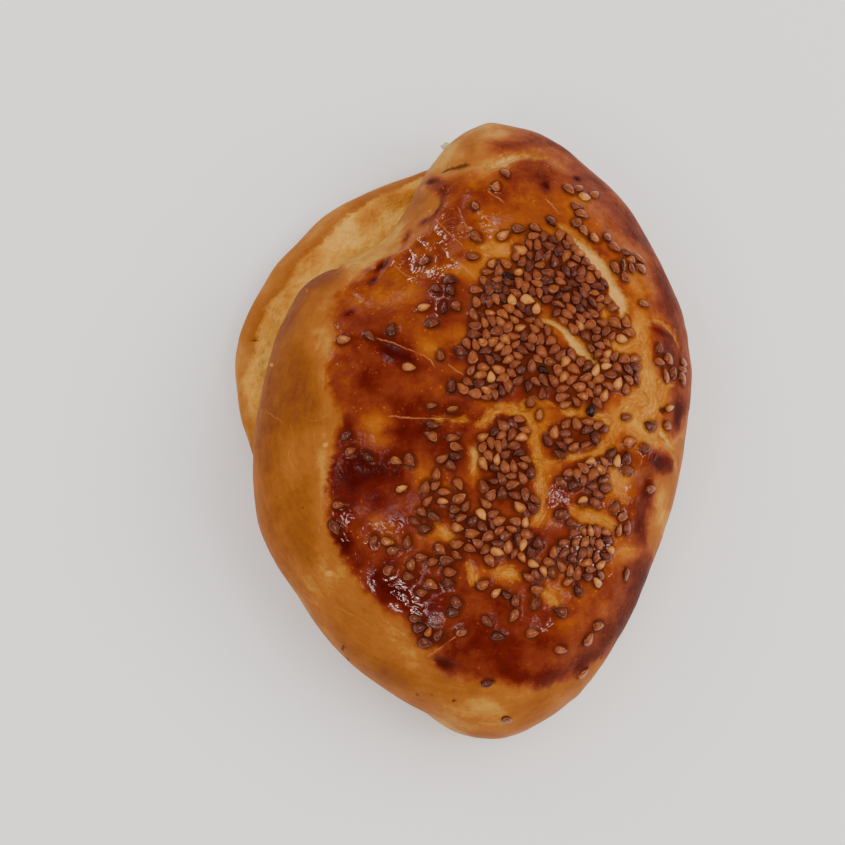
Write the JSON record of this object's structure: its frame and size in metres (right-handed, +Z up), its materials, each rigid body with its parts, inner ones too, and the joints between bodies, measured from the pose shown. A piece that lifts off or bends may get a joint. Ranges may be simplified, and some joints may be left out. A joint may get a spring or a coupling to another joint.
{
  "type": "pogaca",
  "caption": "Folded savoury bun, an oval disc of dough turned over on itself, with a glossy egg-washed crust, toasted sesame and a pale lip along the mouth of the fold.",
  "frame": {"origin": "middle of the bun's box in plan, on the flat underside it rests on", "axes": "+Z up through the crust, +Y along the bun towards the tip of the flap beside the open mouth, +X towards the folded side, which has no seam"},
  "size_m": [0.0978, 0.133, 0.0409],
  "materials": {
    "baked_dough": "baked dough, egg-washed to a glossy red-brown on top, bare and golden tan round the sides",
    "toasted_sesame": "toasted brown sesame hulls with a low sheen",
    "golden_sesame": "paler sesame hulls with a low sheen",
    "white_cheese": "a soft cream-white fleck, matt"
  },
  "bodies": {
    "root": {"folded_bun": "baked_dough"}
  },
  "joints": []
}
